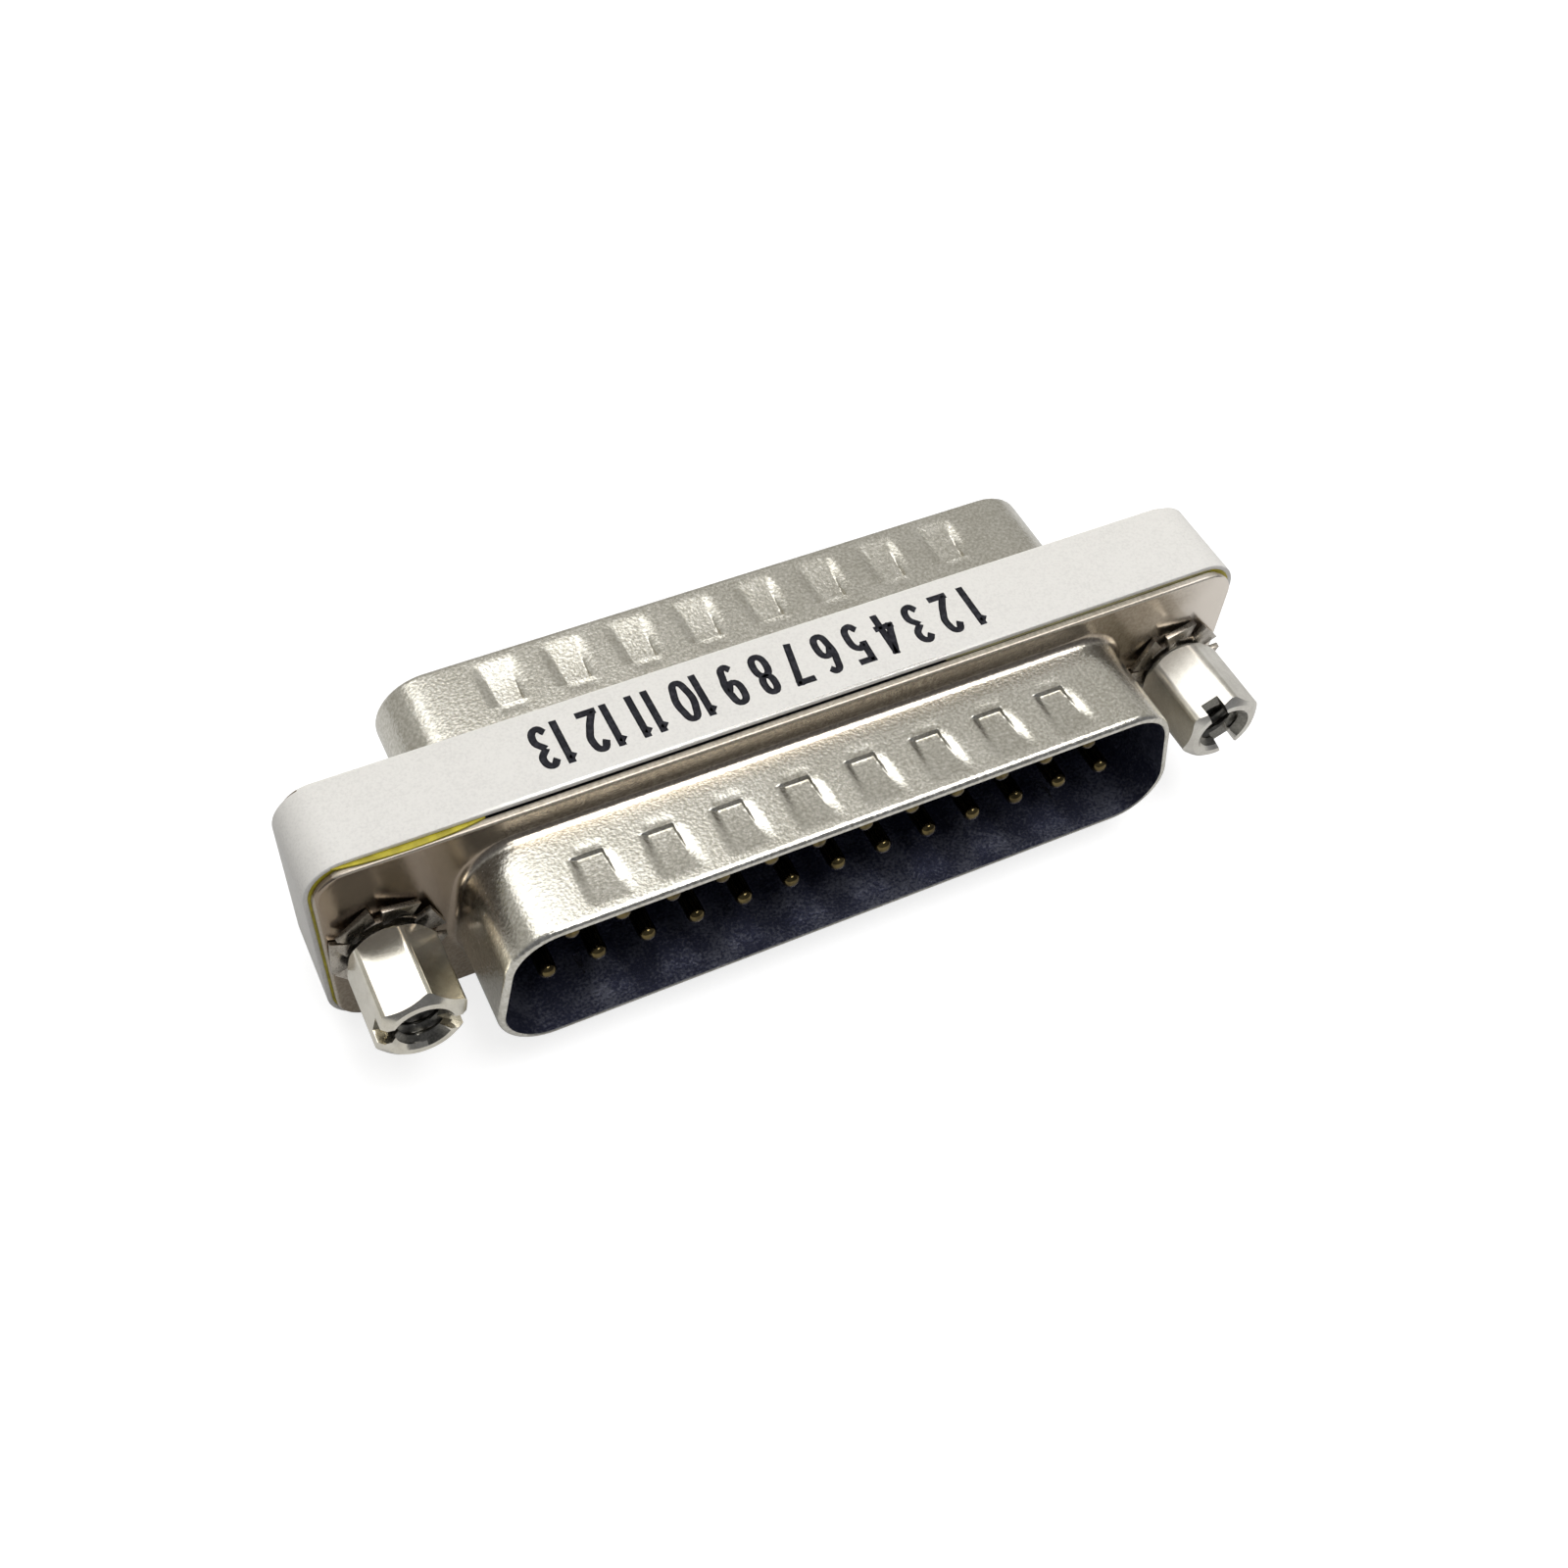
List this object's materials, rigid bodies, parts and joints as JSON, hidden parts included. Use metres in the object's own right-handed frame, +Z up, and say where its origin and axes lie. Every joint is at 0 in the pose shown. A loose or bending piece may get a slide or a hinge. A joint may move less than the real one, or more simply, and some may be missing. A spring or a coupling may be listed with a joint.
{
  "type": "d-sub gender changer",
  "caption": "Slim plug-to-plug adapter for a D-shaped multi-pin connector, with drawn metal shells back to back on a flat white band and slotted hexagon jackscrews.",
  "frame": {"origin": "under the middle of the white band, on the surface that it stands on", "axes": "+X along the connector's length, -Y out of the front plug with its narrow side up, +Z up"},
  "size_m": [0.0538, 0.0182, 0.0134],
  "materials": {
    "plated_shell": "satin tin plate over drawn steel with a fine grain",
    "insulator": "moulded near-black thermoplastic",
    "gilt_contact": "thin gold flash over brass",
    "white_band": "matt off-white paint, bare silver cut edges",
    "yellow_lining": "yellow passivated strip",
    "bright_nickel": "bright nickel plate on turned steel",
    "dark_nickel": "dull nickel on stamped spring steel"
  },
  "bodies": {
    "root": {"band_lining": "yellow_lining", "contact_01": "gilt_contact", "contact_02": "gilt_contact", "contact_03": "gilt_contact", "contact_04": "gilt_contact", "contact_05": "gilt_contact", "contact_06": "gilt_contact", "contact_07": "gilt_contact", "contact_08": "gilt_contact", "contact_09": "gilt_contact", "contact_10": "gilt_contact", "contact_11": "gilt_contact", "contact_12": "gilt_contact", "contact_13": "gilt_contact", "contact_14": "gilt_contact", "contact_15": "gilt_contact", "contact_16": "gilt_contact", "contact_17": "gilt_contact", "contact_18": "gilt_contact", "contact_19": "gilt_contact", "contact_20": "gilt_contact", "contact_21": "gilt_contact", "contact_22": "gilt_contact", "contact_23": "gilt_contact", "contact_24": "gilt_contact", "contact_25": "gilt_contact", "front_flange": "plated_shell", "front_insulator": "insulator", "front_shell": "plated_shell", "jackscrew_left": "bright_nickel", "jackscrew_right": "bright_nickel", "lock_washer_left": "dark_nickel", "lock_washer_right": "dark_nickel", "outer_band": "white_band", "rear_flange": "plated_shell", "rear_insulator": "insulator", "rear_nut_left": "bright_nickel", "rear_nut_right": "bright_nickel", "rear_shell": "plated_shell", "spacer_left": "bright_nickel", "spacer_right": "bright_nickel"}
  },
  "joints": []
}
